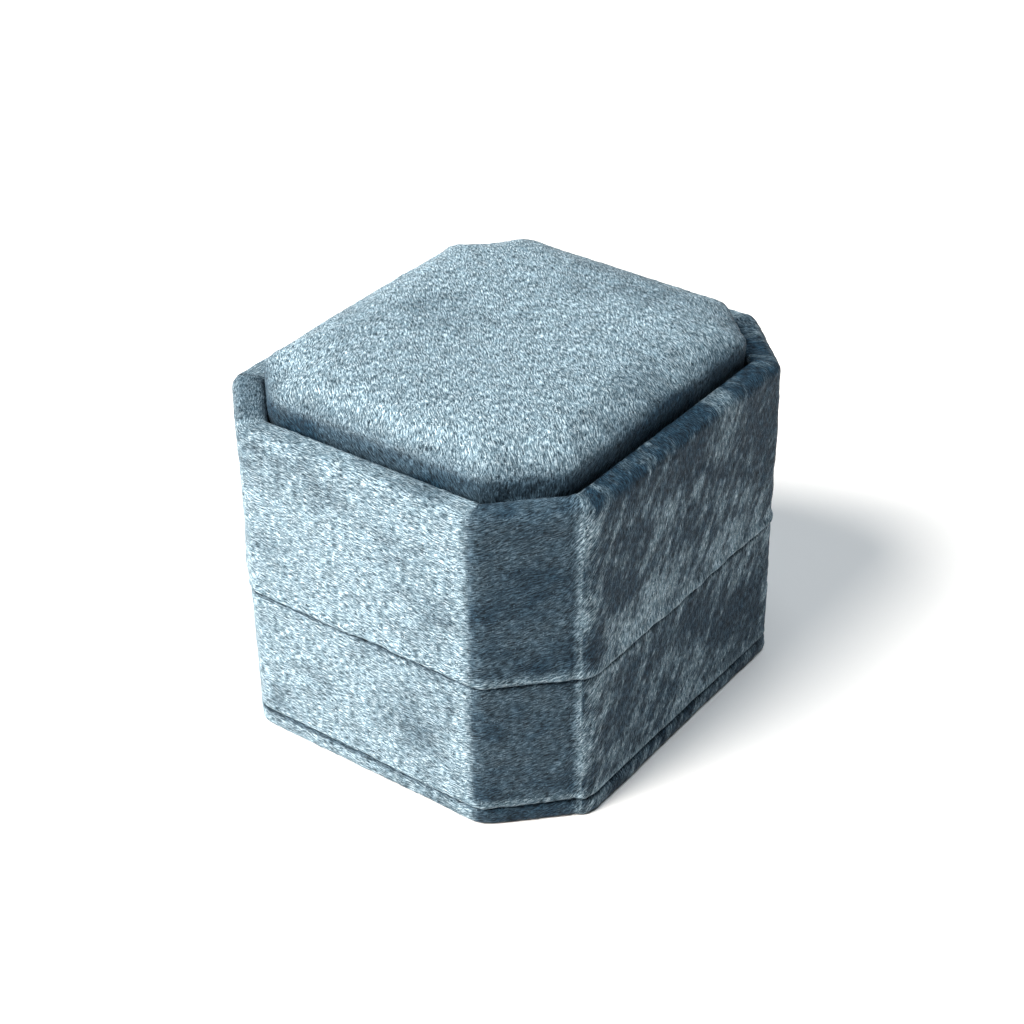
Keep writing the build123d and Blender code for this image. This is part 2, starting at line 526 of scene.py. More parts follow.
def lipShape(v, look, low):  # a bell curve up the wall, 1 at the middle of the lip
    return np.exp(-(((v - low - look["lipHeight"]) / look["lipReach"]) ** 2))


# The pile's relief on the outside: tufts, clumps of them and slow waves, each a soft noise,
# and the butt seam as a raised bell curve with a narrow dip beside it.
def pileRelief(u, v, loop, look):
    seed = look["seed"]
    tuft = softNoise(u, v, *look["tuftSize"], loop, seed)
    clump = softNoise(u, v, *look["clumpSize"], loop, seed + 1)
    wave = softNoise(u, v, *look["waveSize"], loop, seed + 2)
    height = look["tuft"] * tuft + look["clump"] * clump + look["wave"] * wave
    fromSeam = (u + loop / 2) % loop - loop / 2
    drift = look["seamDrift"] * softNoise(u * 0, v, loop, 2.5 * mm, loop, seed + 3)
    fromSeam = fromSeam - drift
    ridge = np.exp(-((fromSeam / look["seamWidth"]) ** 2))
    dip = np.exp(-(((fromSeam + 2.2 * look["seamWidth"]) / (0.7 * look["seamWidth"])) ** 2))
    return height + look["seamRidge"] * (ridge - 0.9 * dip)


# Places along a wrapped strip, whose u runs from the seam round the front first: the end of the
# front, and the start of the near cut, the last stretch before the seam.
def stripPlaces(loop):
    return 2 * plan["halfWidth"], loop - math.sqrt(2) * plan["cornerCut"]


# Which way the nap lies, 0 to 3: level on the left and back, rising over the near cut, swept up
# just past the seam and calming down along the front.
def napLie(u, v, loop, seed):
    flutter = 0.35 * softNoise(u, v, 4 * mm, 4 * mm, loop, seed)
    front, nearCut = stripPlaces(loop)
    swept = 2 + smoothStep(u, 1 * mm, 8 * mm)
    calm = smoothStep(u, front - 16 * mm, front + 2 * mm)
    rising = smoothStep(u, nearCut - 3 * mm, nearCut + 1 * mm) * (1 + smoothStep(u, loop - 3 * mm, loop))
    return np.clip(np.where(u < front + 4 * mm, swept * (1 - calm), rising) + flutter, 0, 3)


crushAndShadeLook = {
    "rounds": ((7 * mm, 5 * mm, 0.62), (2.6 * mm, 2 * mm, 0.3)),    # length, height, weight
    "swept": ((58, 2.4 * mm, 0.7 * mm, 0.6), (64, 1.2 * mm, 0.36 * mm, 0.45)),  # degrees first
    "level": ((8, 2.6 * mm, 0.9 * mm, 0.35), (8, 1.1 * mm, 0.4 * mm, 0.3)),
    "bias": -0.1,               # more of it, and more of the pile is crushed
    # painted shade on the front, where the threshold is lowered
    "frontShade": 0.72,
    "highShade": 0.3,            # painted shade besides, high up on the front
    "leftShade": 0.45,           # painted shade besides, towards the near cut
    "ramp": (-0.3, 1.25),
    "sideStrength": 0.65,       # how dark a patch and its painted shade are off the front
    "cutShade": 0.8,            # painted shade on the near cut, with cutPatches of the patches
    "cutPatches": 0.3,
    # painted highlight: how much lighter the lip is kept
    "lipHighlight": 0.55,
}


# Soft noise in streaks: the noise's cells are long and narrow and lie at an angle in degrees.
# Layers of it are summed, each by its weight.
def streakNoise(u, v, layers, seed):
    reach = 0.4  # metres, more than any strip is long
    total = 0
    for number, (angle, length, width, weight) in enumerate(layers):
        turn = math.radians(angle)
        alongStreak = u * math.cos(turn) + v * math.sin(turn) + reach / 2
        acrossStreak = v * math.cos(turn) - u * math.sin(turn)
        total = total + weight * softNoise(alongStreak, acrossStreak, length, width, reach, seed + number)
    return total


# Painted shade in the folds: each band rises over the crease's width up to the fold and ends past it.
def creaseBands(v, look, low, top):
    atBottom, atTop = look["creases"]
    wide = look["creaseWidth"]
    bottom = smoothStep(-v, -low - wide, -low) * smoothStep(v, low - 2.2 * wide, low - wide)
    upper = smoothStep(v, top - wide, top) * smoothStep(-v, -top - 2.2 * wide, -top - wide)
    return look["creaseShade"] * np.maximum(atBottom * bottom, atTop * upper)


# Patches brushed the other way, with painted shade, 0 to 1: round and streaked soft noise past a
# threshold, which painted shade lowers on the front, most of all high up on it, and towards the near
# cut. The near cut takes painted shade, the lip a painted highlight, the creases painted shade.
def crushPatchesAndShade(u, v, loop, look, low, top):
    seed = look["seed"] + 9
    front, nearCut = stripPlaces(loop)
    onFront = smoothStep(-u, -front, -front + 12 * mm)
    pastSeam = smoothStep(u, 2 * mm, 12 * mm)
    high = smoothStep(v, low + 2 * mm, low + 8 * mm)
    patchesAndShade = 0
    for number, (length, height, weight) in enumerate(crushAndShadeLook["rounds"]):
        patchesAndShade = patchesAndShade + weight * softNoise(u, v, length, height, loop, seed + number)
    patchesAndShade = patchesAndShade + onFront * streakNoise(u, v, crushAndShadeLook["swept"], seed + 2)
    patchesAndShade = patchesAndShade + (1 - onFront) * streakNoise(u, v, crushAndShadeLook["level"], seed + 4)
    patchesAndShade = patchesAndShade + crushAndShadeLook["bias"]
    # painted shade: darker on the front, high up on it, and towards the near cut
    patchesAndShade = patchesAndShade + onFront * (crushAndShadeLook["frontShade"] + crushAndShadeLook["highShade"] * pastSeam * high)
    patchesAndShade = patchesAndShade + crushAndShadeLook["leftShade"] * smoothStep(u, nearCut - 28 * mm, nearCut - 6 * mm)
    patchesAndShade = smoothStep(patchesAndShade, *crushAndShadeLook["ramp"])
    patchesAndShade = patchesAndShade * (crushAndShadeLook["sideStrength"] + (1 - crushAndShadeLook["sideStrength"]) * onFront)
    # painted shade on the near cut
    cut = smoothStep(u, nearCut - 0.8 * mm, nearCut + 0.9 * mm)
    cut = cut * smoothStep(-u, -loop - 0.4 * mm, -loop + 1.2 * mm)
    onCut = crushAndShadeLook["cutPatches"] * patchesAndShade + crushAndShadeLook["cutShade"] * cut
    crushAndShade = np.where(u > nearCut - 2 * mm, onCut, patchesAndShade)
    # painted highlight on the lip; the creases take painted shade
    crushAndShade = crushAndShade * (1 - crushAndShadeLook["lipHighlight"] * lipShape(v, look, low) * (look["lipBulge"] > 0))
    return np.clip(np.maximum(crushAndShade, creaseBands(v, look, low, top)), 0, 1)


# Lays the relief, the lip's bulge and the nap on a wrapped strip of velvet: each point moves along
# the outward direction by the relief where it is shown. Gives the piece, and the distances round it.
def finishWrap(name, grid, profile, shown, wallRow, look, low, top, closeRows=True):
    around, along = gridDistances(grid, wallRow)
    loop = around[-1]
    along = along - along[wallRow] + profile[wallRow, 1]
    u = np.broadcast_to(around[None, :-1], grid.shape[:2])
    v = np.broadcast_to(along[:-1, None], grid.shape[:2])
    relief = pileRelief(u, v, loop, look)
    lip = look["lipBulge"] * lipShape(v, look, low)
    lip = lip * (1 + look["lipUneven"] * softNoise(u, v, 2.5 * mm, 9 * mm, loop, look["seed"] + 5))
    relief = np.where(shown[:, None], relief + lip, -look["hiddenDip"])
    grid = grid + gridNormals(grid) * relief[..., None]
    values = {
        "napTurn": napLie(u, v, loop, look["seed"] + 7),
        "crushAndShade": crushPatchesAndShade(u, v, loop, look, low, top),
    }
    return gridObject(name, grid, around, along, values, closeRows), around


# Painted shade over the rim on the near cut, the front and the left cut, where the pile lies away
# from the window: there it is as dark as a crushed patch, and the share grows with height over the last of
# the wall.
def darkenRim(wrap, profile, around, rimStart, look):
    u, loop = around[:-1], around[-1]
    front, nearCut = stripPlaces(loop)
    leftCutEnd = nearCut - 2 * (plan["halfDepth"] - plan["cornerCut"])
    leftCut = leftCutEnd - math.sqrt(2) * plan["cornerCut"]
    onNearCut = smoothStep(u, nearCut - 1 * mm, nearCut + 1.5 * mm)
    onLeftCut = smoothStep(u, leftCut - 1 * mm, leftCut + 1 * mm)
    onLeftCut = onLeftCut * smoothStep(-u, -leftCutEnd - 1 * mm, -leftCutEnd + 1 * mm)
    onFront = smoothStep(-u, -front, -front + 20 * mm)
    share = look["rimShade"]
    shade = [share["nearCut"] * onNearCut, share["leftCut"] * onLeftCut, share["front"] * onFront]
    shade = np.maximum.reduce(shade)
    crushAndShade = np.empty(len(wrap.data.vertices), np.float32)
    wrap.data.attributes["crushAndShade"].data.foreach_get("value", crushAndShade)
    lift = smoothStep(profile[:, 1], rimStart - 1.5 * mm, rimStart + 1.2 * mm)
    crushAndShade = np.maximum(crushAndShade.reshape(len(lift), len(shade)), lift[:, None] * shade[None, :])
    setAttribute(wrap.data, "crushAndShade", crushAndShade)


def wallRows(height, look):
    return int(round(height / look["rowSpacing"]))


def lidVelvet(look):
    low, top = levelsOf("lid_side_wrap")
    tray = levelsOf("cushion_cover")[0]
    frameLow, frameTop = levelsOf("lid_frame")
    roll, inner, fold = look["rimRoll"], look["rimInner"], look["foldRadius"]
    boardBack = insetOf("lid_lining")
    rimFace = lidBore + look["rimPile"]
    under = np.vstack([
        run((boardBack, low), (fold, low), 7),
        bend(fold, low + fold, fold, -90, 0, 8),
    ])
    wall = run((0, low + fold), (0, top - roll), wallRows(top - roll - low - fold, look))
    rim = np.vstack([
        bend(roll, top - roll, roll, 0, 90, 11),
        bend(rimFace - inner, top - inner, inner, 90, 180, 11),
        run((rimFace, top - inner), (rimFace, tray), 5),
    ])
    hidden = np.vstack([
        run((rimFace, tray), (boardBack, tray), 2),
        run((boardBack, tray), (boardBack, frameTop), 2),
        run((boardBack, frameTop), (velvetThick, frameTop), 3),
        run((velvetThick, frameTop), (velvetThick, frameLow), 3),
        run((velvetThick, frameLow), (boardBack, frameLow), 2),
        run((boardBack, frameLow), (boardBack, low), 2),
    ])
    profile = np.vstack([under, wall, rim, hidden])
    grid = carryRound(profile, plan["cornerRadius"])
    shown = np.arange(len(profile)) < len(profile) - len(hidden)
    wrap, around = finishWrap("lid_velvet", grid, profile, shown, len(under), look, low, top)
    darkenRim(wrap, profile, around, top - roll, look)
    return wrap, around[-1]


lidWrap, lidLoop = lidVelvet(lidCloth)
dress(lidWrap, velvet, "lid", "velvet", "lid_side_wrap")
print("lid velvet made:", len(lidWrap.data.polygons), "faces")


baseCloth = dict(lidCloth, seed=41, foldRadius=0.65 * mm, lipBulge=0.1 * mm, seamRidge=0.14 * mm,
                 wave=0.12 * mm, creases=(1, 1), turnIn=10 * mm)


def baseVelvet(look):
    low, top = levelsOf("base_side_wrap")
    frameLow, frameTop = levelsOf("base_frame")
    boardBack = insetOf("base_floor_board")
    turnedIn = insetOf("collar_wrap")
    turnInFoot = top - look["turnIn"]
    fold = look["foldRadius"]
    foot = run((boardBack, low), (fold, low), 4)
    lowFold = bend(fold, low + fold, fold, -90, 0, 7)
    wall = run((0, low + fold), (0, top - fold), wallRows(top - low - 2 * fold, look))
    highFold = bend(fold, top - fold, fold, 0, 90, 8)
    ledge = run((fold, top), (turnedIn, top), 9)
    hidden = np.vstack([
        run((turnedIn, top), (turnedIn, turnInFoot), 6),
        run((turnedIn, turnInFoot), (boardBack, turnInFoot), 2),
        run((boardBack, turnInFoot), (boardBack, frameTop), 4),
        run((boardBack, frameTop), (velvetThick, frameTop), 3),
        run((velvetThick, frameTop), (velvetThick, frameLow), 3),
        run((velvetThick, frameLow), (boardBack, frameLow), 2),
        run((boardBack, frameLow), (boardBack, low), 2),
    ])
    profile = np.vstack([foot, lowFold, wall, highFold, ledge, hidden])
    grid = carryRound(profile, plan["cornerRadius"])
    row = np.arange(len(profile))
    shown = (row >= len(foot)) & (row < len(profile) - len(hidden) - 1)  # but for the ledge's last row
    wallRow = len(foot) + len(lowFold)
    wrap, around = finishWrap("base_velvet", grid, profile, shown, wallRow, look, low, top)
    return wrap, around[-1]


baseWrap, baseLoop = baseVelvet(baseCloth)
dress(baseWrap, velvet, "base", "velvet", "base_side_wrap")
print("base velvet made:", len(baseWrap.data.polygons), "faces")


footCloth = dict(lidCloth, seed=71, foldRadius=0.7 * mm, lipBulge=0.0, seamRidge=0.1 * mm,
                 wave=0.08 * mm, creases=(0, 1), proud=0.12 * mm, turnOver=6 * mm, rings=24,
                 flatSize=(72 * mm, 66 * mm))


# The outer skin runs from the middle of the underside out, up over the edge and in over the top;
# the inner skin goes back round the board and closes in the middle, one cloth's thickness up.
def footVelvet(look):
    low, top = levelsOf("base_plate_cover")
    boardLow, boardTop = levelsOf("base_plate_board")
    fold, rings = look["foldRadius"], look["rings"]
    edge = fold - look["proud"]
    inner = velvetThick + look["turnOver"]
    lowFold = bend(edge, low + fold, fold, -90, 0, 7)
    highFold = bend(edge, top - fold, fold, 0, 90, 7)
    seen = np.vstack([
        lowFold,
        run((-look["proud"], low + fold), (-look["proud"], top - fold), 4),
        highFold,
    ])
    ledgeSeen = 4  # rows of the ledge that can be seen in the crease under the base
    profile = np.vstack([
        run((edge, low), (edge, low), rings),
        seen,
        run((edge, top), (inner, top), 12),
        run((inner, top), (inner, boardTop), 2),
        run((inner, boardTop), (velvetThick, boardTop), 8),
        run((velvetThick, boardTop), (velvetThick, boardLow), 2),
        run((velvetThick, boardLow), (velvetThick, boardLow), rings),
    ])
    inward = np.linspace(1, 0, rings)
    share = np.concatenate([inward[::-1], np.ones(len(profile) - 2 * rings), inward])
    grid = carryRound(profile, plan["cornerRadius"], share)
    row = np.arange(len(profile))
    shown = (row >= rings) & (row < rings + len(seen) + ledgeSeen)
    wallRow = rings + len(lowFold)
    wrap, _ = finishWrap("foot_plate_velvet", grid, profile, shown, wallRow, look, low, top, False)
    return wrap


footWrap = footVelvet(footCloth)
dress(footWrap, velvet, "base", "velvet", "base_plate_cover")
print("foot plate velvet made")


collarCloth = dict(lidCloth, seed=101, foldRadius=0.95 * mm, lipBulge=0.0, seamRidge=0.12 * mm,
                   wave=0.06 * mm, clump=0.03 * mm, tuft=0.035 * mm, rowSpacing=0.4 * mm,
                   creases=(0, 0), padGap=0.2 * mm, flatLength=50 * mm, columnSpacing=0.38 * mm,
                   cornerColumns=7)
innerColumns = shareColumns(boxCorners(insetOf("collar_wrap")), collarCloth["columnSpacing"],
                            collarCloth["cornerColumns"])


def collarVelvet(look):
    low, top = levelsOf("collar_wrap")
    boardLow, boardTop = levelsOf("collar_board")
    face, core = insetOf("collar_wrap"), insetOf("collar_board")
    bore = insetOf("ring_pad_board") - look["padGap"]
    back = bore - velvetThick
    fold = look["foldRadius"]
    rows = wallRows(top - fold - low, look)
    foot = run((core, low), (face, low), 2)
    seen = np.vstack([
        run((face, low), (face, top - fold), rows),
        bend(face + fold, top - fold, fold, 0, 90, 9),
        run((face + fold, top), (bore - fold, top), 4),
        bend(bore - fold, top - fold, fold, 90, 180, 9),
        run((bore, top - fold), (bore, low), rows),
    ])
    hidden = np.vstack([
        run((bore, low), (back, low), 2),
        run((back, low), (back, boardTop), 4),
        run((back, boardTop), (core, boardTop), 3),
        run((core, boardTop), (core, low), 4),
    ])
    profile = np.vstack([foot, seen, hidden])
    grid = carryRound(profile, plan["cornerRadius"], columns=innerColumns)
    row = np.arange(len(profile))
    shown = (row >= len(foot)) & (row < len(foot) + len(seen))
    wrap, around = finishWrap("collar_velvet", grid, profile, shown, len(foot), look, low, top)
    return wrap, around[-1]


collarWrap, collarLoop = collarVelvet(collarCloth)
dress(collarWrap, velvet, "base", "velvet", "collar_wrap")
print("collar velvet made")


liningCloth = dict(lidCloth, seed=131, lipBulge=0.0, seamRidge=0.08 * mm, wave=0.05 * mm,
                   clump=0.02 * mm, tuft=0.02 * mm, rowSpacing=0.4 * mm, creases=(0, 0),
                   foldRadius=0.3 * mm, flatLength=17.7 * mm)


def lidLining(look):
    low, top = levelsOf("lid_lining")
    outer, fold = insetOf("lid_lining"), look["foldRadius"]
    face = outer + velvetThick
    glued = np.vstack([
        run((outer, low), (outer, top), 4),
        run((outer, top), (face, top), 2),
    ])
    seen = np.vstack([
        run((face, top), (face, low + fold), wallRows(top - low - fold, look)),
        bend(face - fold, low + fold, fold, 180, 270, 5),
    ])
    profile = np.vstack([glued, seen, run((face - fold, low), (outer, low), 3)])
    grid = carryRound(profile, plan["cornerRadius"], columns=innerColumns)
    row = np.arange(len(profile))
    shown = (row >= len(glued)) & (row < len(glued) + len(seen))
    wrap, around = finishWrap("lid_lining_cloth", grid, profile, shown, len(glued), look, low, top)
    return wrap, around[-1]


liningWrap, liningLoop = lidLining(liningCloth)
dress(liningWrap, lining, "lid", "lining", "lid_lining")
print("lining made")


# Raises a form's top towards the back, away from the near cut: by lean times a soft S of how far
# back a point lies, times 0.3 to 1 from the middle of the top to its edge, and not below the shoulder.
def leanBack(grid, share, shoulder, look):
    wayX, wayY = look["leanWay"]
    backward = (wayX * grid[..., 0] + wayY * grid[..., 1]) / plan["halfWidth"]
    lift = smoothStep(grid[..., 2], shoulder - 1.5 * mm, shoulder + 0.5 * mm)
    lift = lift * (0.3 + 0.7 * share[:, None])
    grid[..., 2] += lift * look["lean"] * smoothStep(backward, look["leanFrom"], look["leanTo"])


# A closed form to start from: an outline carried up a profile, its underside and top drawn in to
# a point. The walls swell by bulge times the sine of the height; the shoulder turns in, and the top
# rises from it by dome times 1 - exp(-s / k), s the share of the way in and k domeEdge, divided by
# that term at the middle.
def padForm(name, corners, inset, bottom, top, look):
    edge, foot, turn = look["edge"], look["footEdge"], look["shoulderTurn"]
    dome, domeEdge = look["dome"], look["domeEdge"]
    under = np.linspace(0, 1, look["underRows"])
    over = 1 - np.linspace(0, 1, look["topRows"]) ** 2
    shoulder = top - dome - edge * math.sin(math.radians(turn))
    wall = run((inset, bottom + foot), (inset, shoulder), look["sideRows"])
    wall[:, 0] -= look["bulge"] * np.sin(np.linspace(0, math.pi / 2, len(wall), endpoint=False))
    sides = np.vstack([
        bend(inset + foot, bottom + foot, foot, -90, 0, 4),
        wall,
        bend(inset - look["bulge"] + edge, shoulder, edge, 0, turn, 9),
    ])
    rise = dome * (1 - np.exp(-(1 - over) / domeEdge)) / (1 - math.exp(-1 / domeEdge))
    last = inset - look["bulge"] + edge * (1 - math.cos(math.radians(turn)))
    profile = np.vstack([
        run((inset + foot, bottom), (inset + foot, bottom), len(under)),
        sides,
        np.stack([np.full(len(over), last), top - dome + rise], 1),
    ])
    share = np.concatenate([under, np.ones(len(sides)), over])
    ends = corners(np.array(inset))
    columns = shareColumns(ends, look["columnSpacing"], look["cornerColumns"])
    grid = carryRound(profile, look["cornerRadius"] + inset, columns=columns, corners=corners)
    centre = (ends.max(0) + ends.min(0)) / 2
    grid[..., :2] = centre + (grid[..., :2] - centre) * share[:, None, None]
    leanBack(grid, share, shoulder, look)
    faces, _, _ = gridFaces(*grid.shape[:2], False)
    return gridMesh(name, grid, faces)


def meshPoints(mesh):
    flat = np.empty(len(mesh.vertices) * 3, np.float32)
    mesh.vertices.foreach_get("co", flat)
    return flat.reshape(-1, 3).astype(float)


def setPoints(mesh, points):
    mesh.vertices.foreach_set("co", np.ascontiguousarray(points, dtype=np.float32).ravel())
    mesh.update()


def meshNormals(mesh):
    flat = np.empty(len(mesh.vertices) * 3, np.float32)
    mesh.vertex_normals.foreach_get("vector", flat)
    return flat.reshape(-1, 3).astype(float)


def applied(obj):  # the object's mesh with its modifiers applied
    bpy.context.view_layer.update()
    graph = bpy.context.evaluated_depsgraph_get()
    return bpy.data.meshes.new_from_object(obj.evaluated_get(graph), depsgraph=graph)


def takeMesh(obj, mesh):
    obj.modifiers.clear()
    obj.data = mesh


# Fills the form out as cloth under pressure, its glued face held still. Each point then goes the way
# the cloth took it, by swell times travel times cap / (cap + travel), so never past swell times cap.
def fillOut(obj, look, heldFrom, heldTo):
    grow = look["grow"]
    start = meshPoints(obj.data)
    level = start[:, 2] / grow
    held = obj.vertex_groups.new(name="held")
    held.add(np.flatnonzero((level > heldFrom) & (level < heldTo)).tolist(), 1.0, "REPLACE")
    cloth = obj.modifiers.new("cloth", "CLOTH")
    cloth.settings.quality = look["quality"]
    cloth.settings.use_pressure = True
    cloth.settings.uniform_pressure_force = look["pressure"]
    cloth.settings.effector_weights.gravity = 0
    cloth.settings.vertex_group_mass = held.name
    cloth.settings.tension_stiffness = look["stiffness"]
    cloth.settings.compression_stiffness = look["stiffness"]
    cloth.point_cache.frame_start = 1
    cloth.point_cache.frame_end = look["frames"]
    for step in range(1, look["frames"] + 1):
        bpy.context.scene.frame_set(step)
    mesh = applied(obj)
    travel = meshPoints(mesh) - start
    far = np.linalg.norm(travel, axis=1, keepdims=True)
    cap = look["travelCap"] * grow
    print(obj.name, "cloth moved up to", round(float(far.max() / grow / mm), 2), "mm")
    setPoints(mesh, start + travel * (cap / (cap + far)) * look["swell"])
    takeMesh(obj, mesh)
    bpy.context.scene.frame_set(1)


# Evens out the form's mesh and fills it out, grown so that the solver's settings suit it, then
# takes it back to size and smooths it.
def puffUp(obj, look, heldFrom, heldTo):
    grow = look["grow"]
    obj.data.transform(Matrix.Scale(grow, 4))
    remesh = obj.modifiers.new("remesh", "REMESH")
    remesh.mode = "VOXEL"
    remesh.voxel_size = look["voxel"] * grow
    takeMesh(obj, applied(obj))
    fillOut(obj, look, heldFrom, heldTo)
    obj.data.transform(Matrix.Scale(1 / grow, 4))
    smooth = obj.modifiers.new("subdivide", "SUBSURF")
    smooth.levels = smooth.render_levels = look["subdivide"]
    takeMesh(obj, applied(obj))
    obj.vertex_groups.clear()


# Where each point of a padded piece lies on its cloth pulled flat: its place from above, and
# down the sides its depth below the shoulder added outwards.
def flatPlaces(points, normals, shoulder, upward):
    level = normals[:, :2]
    outward = level / np.maximum(np.linalg.norm(level, axis=1, keepdims=True), 1e-9)
    depth = np.maximum(0, (shoulder - points[:, 2]) * upward)
    return points[:, :2] + outward * depth[:, None] * np.minimum(1, np.linalg.norm(level, axis=1))[:, None]


padReach = 0.2  # metres, wider than any padded piece pulled flat


def flatNoise(flat, cell, seed):  # soft noise over those flat places
    return softNoise(flat[:, 0] + padReach / 2, flat[:, 1] + padReach / 2, cell, cell, padReach, seed)


# Gives a puffed piece its pile: tufts, clumps and waves of soft noise along the normals, and its
# flat places as the UV map "nap". Gives back those places, and each point's height before the pile.
def layPile(obj, look, shoulder, upward):
    mesh = obj.data
    points, normals = meshPoints(mesh), meshNormals(mesh)
    flat = flatPlaces(points, normals, shoulder, upward)
    relief = look["tuft"] * flatNoise(flat, look["tuftSize"], look["seed"])
    relief = relief + look["clump"] * flatNoise(flat, look["clumpSize"], look["seed"] + 1)
    relief = relief + look["wave"] * flatNoise(flat, look["waveSize"], look["seed"] + 2)
    setPoints(mesh, points + normals * relief[:, None])
    corner = np.empty(len(mesh.loops), np.int32)
    mesh.loops.foreach_get("vertex_index", corner)
    nap = mesh.uv_layers.new(name="nap")
    nap.data.foreach_set("uv", np.ascontiguousarray(flat[corner], dtype=np.float32).ravel())
    mesh.shade_smooth()
    return flat, points[:, 2]


# A padded piece. What lies between the heights heldFrom and heldTo is glued down, and stays flat.
def makePad(name, corners, inset, bottom, top, look, heldFrom, heldTo):
    obj = bpy.data.objects.new(name, padForm(name, corners, inset, bottom, top, look))
    bpy.context.scene.collection.objects.link(obj)
    puffUp(obj, look, heldFrom, heldTo)
    return obj


cushionLook = {
    "voxel": 0.62 * mm,
    "columnSpacing": 0.8 * mm,  # of the form before it is evened out
    "cornerColumns": 5,
    "underRows": 14,
    "sideRows": 8,
    "topRows": 20,
    "grow": 10,
    "quality": 5,
    "frames": 20,
    "pressure": 4,
    "stiffness": 15,
    "travelCap": 0.45 * mm,
    "swell": 1.5,
    "smaller": 0.15 * mm,       # how much smaller it starts, for the cloth to fill out
    "edge": 0.9 * mm,
    "footEdge": 0.6 * mm,
    "bulge": 0.8 * mm,          # how far its waist stands out over the groove
    "shoulderTurn": 62,         # degrees the shoulder turns in before the top begins
    "dome": 1.6 * mm,
    "domeEdge": 0.16,
    "lean": 1.0 * mm,           # fuller at the back than at the front
    "leanWay": (0.6, 0.75),
    "leanFrom": -0.2,           # half widths behind the middle, where it begins
    "leanTo": 0.85,
    "cornerRadius": 3.6 * mm,
    "subdivide": 2,
    "glued": 1.0 * mm,          # how far up it is held by its glued face
    "tuft": 0.05 * mm,
    "clump": 0.04 * mm,
    "wave": 0.10 * mm,
    "tuftSize": 0.5 * mm,
    "clumpSize": 1.8 * mm,
    "waveSize": 9 * mm,
    "shoulderShade": 0.9,
    "shadeFrom": 0.5 * mm,      # below the crown
    "shadeTo": 2.9 * mm,
    "seed": 211,
}


def cushionLie(flat):  # the nap runs down to the near side, fanning a little
    rightward = smoothStep(flat[:, 0] - flat[:, 1], -30 * mm, 40 * mm)
    return np.clip(1.6 + 0.9 * rightward + 0.4 * flatNoise(flat, 5 * mm, 221), 0, 3)


# The cushion's pile is crushed in soft patches, with painted shade more towards the right, and
# painted shade over its shoulders.
def cushionCrushAndShade(flat, height, crown, look):
    patchesAndShade = 0.6 * flatNoise(flat, 9 * mm, 231) + 0.4 * flatNoise(flat, 3 * mm, 232)
    # painted shade: darker towards the right of the top
    rightward = smoothStep(flat[:, 0] - flat[:, 1], 5 * mm, 45 * mm)
    patchesAndShade = 0.36 * smoothStep(patchesAndShade + 0.5 * rightward, 0.0, 1.0)
    # painted shade on the shoulders
    shoulder = smoothStep(crown - height, look["shadeFrom"], look["shadeTo"])
    return np.clip(patchesAndShade + look["shoulderShade"] * shoulder, 0, 1)


def lidCushion(look):
    bottom, top = levelsOf("cushion_cover")
    inset = insetOf("cushion_cover") + look["smaller"]
    crown = top - look["smaller"]
    cushion = makePad("lid_cushion", boxCorners, inset, bottom, crown, look, 0, bottom + look["glued"])
    flat, height = layPile(cushion, look, top - look["dome"], 1)
    setAttribute(cushion.data, "napTurn", cushionLie(flat))
    setAttribute(cushion.data, "crushAndShade", cushionCrushAndShade(flat, height, top, look))
    lowest, highest = meshPoints(cushion.data).min(0), meshPoints(cushion.data).max(0)
    print("cushion spans", (lowest / mm).round(2).tolist(), (highest / mm).round(2).tolist())
    return cushion


cushion = lidCushion(cushionLook)
dress(cushion, velvet, "lid", "velvet", "cushion_cover", "cushion_foam")
print("cushion made:", len(cushion.data.polygons), "faces")


rollLook = dict(cushionLook, voxel=0.8 * mm, edge=2.8 * mm, dome=0.3 * mm, domeEdge=0.6, bulge=0.0,
                shoulderTurn=85, lean=0.0, cornerRadius=1.0 * mm, smaller=0.2 * mm, glued=1.2 * mm,
                travelCap=0.35 * mm, wave=0.06 * mm, seed=251)


# The pieces inside the box: the nap lies much the same way all over, with faint crushed patches.
def quietPile(obj, flat):
    setAttribute(obj.data, "napTurn", 0.5 + 0.5 * flatNoise(flat, 6 * mm, 261))
    setAttribute(obj.data, "crushAndShade", 0.4 * smoothStep(flatNoise(flat, 6 * mm, 271), 0.1, 0.9))


def ringRoll(look, side, place):
    cover = "ring_pad_cover_" + place
    low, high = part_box(cover)
    face = insetOf(cover)
    slotFace = min(abs(low[1]), abs(high[1]))

    def corners(inset):
        return rollCorners(inset, slotFace + np.asarray(inset, float) - face, side)

    crown = high[2] - look["smaller"]
    inset = face + look["smaller"]
    glued = low[2] + look["glued"]
    roll = makePad("ring_roll_" + place, corners, inset, low[2], crown, look, 0, glued)
    flat, _ = layPile(roll, look, high[2] - look["edge"], 1)
    quietPile(roll, flat)
    return roll


for side, place in ((-1, "front"), (1, "back")):
    roll = ringRoll(rollLook, side, place)
    dress(roll, velvet, "base", "velvet", "ring_pad_cover_" + place, "ring_pad_foam_" + place)
print("ring pad rolls made")


ceilingLook = dict(cushionLook, voxel=0.8 * mm, edge=0.8 * mm, footEdge=1.1 * mm, dome=0.0,
                   bulge=0.0, shoulderTurn=88, lean=0.0, cornerRadius=1.6 * mm, smaller=0.15 * mm,
                   travelCap=0.25 * mm, subdivide=1, wave=0.05 * mm, tuft=0.02 * mm, seed=301)


def paddedCeiling(look):
    bottom, top = levelsOf("ceiling_cover")
    inset = insetOf("ceiling_cover") + look["smaller"]
    pad = makePad("padded_ceiling", boxCorners, inset, bottom + look["smaller"], top, look,
                  top - look["glued"], 2 * top)
    flat, _ = layPile(pad, look, bottom + look["footEdge"], -1)
    quietPile(pad, flat)
    return pad


ceiling = paddedCeiling(ceilingLook)
dress(ceiling, lining, "lid", "lining", "ceiling_cover", "ceiling_foam")
print("padded ceiling made")


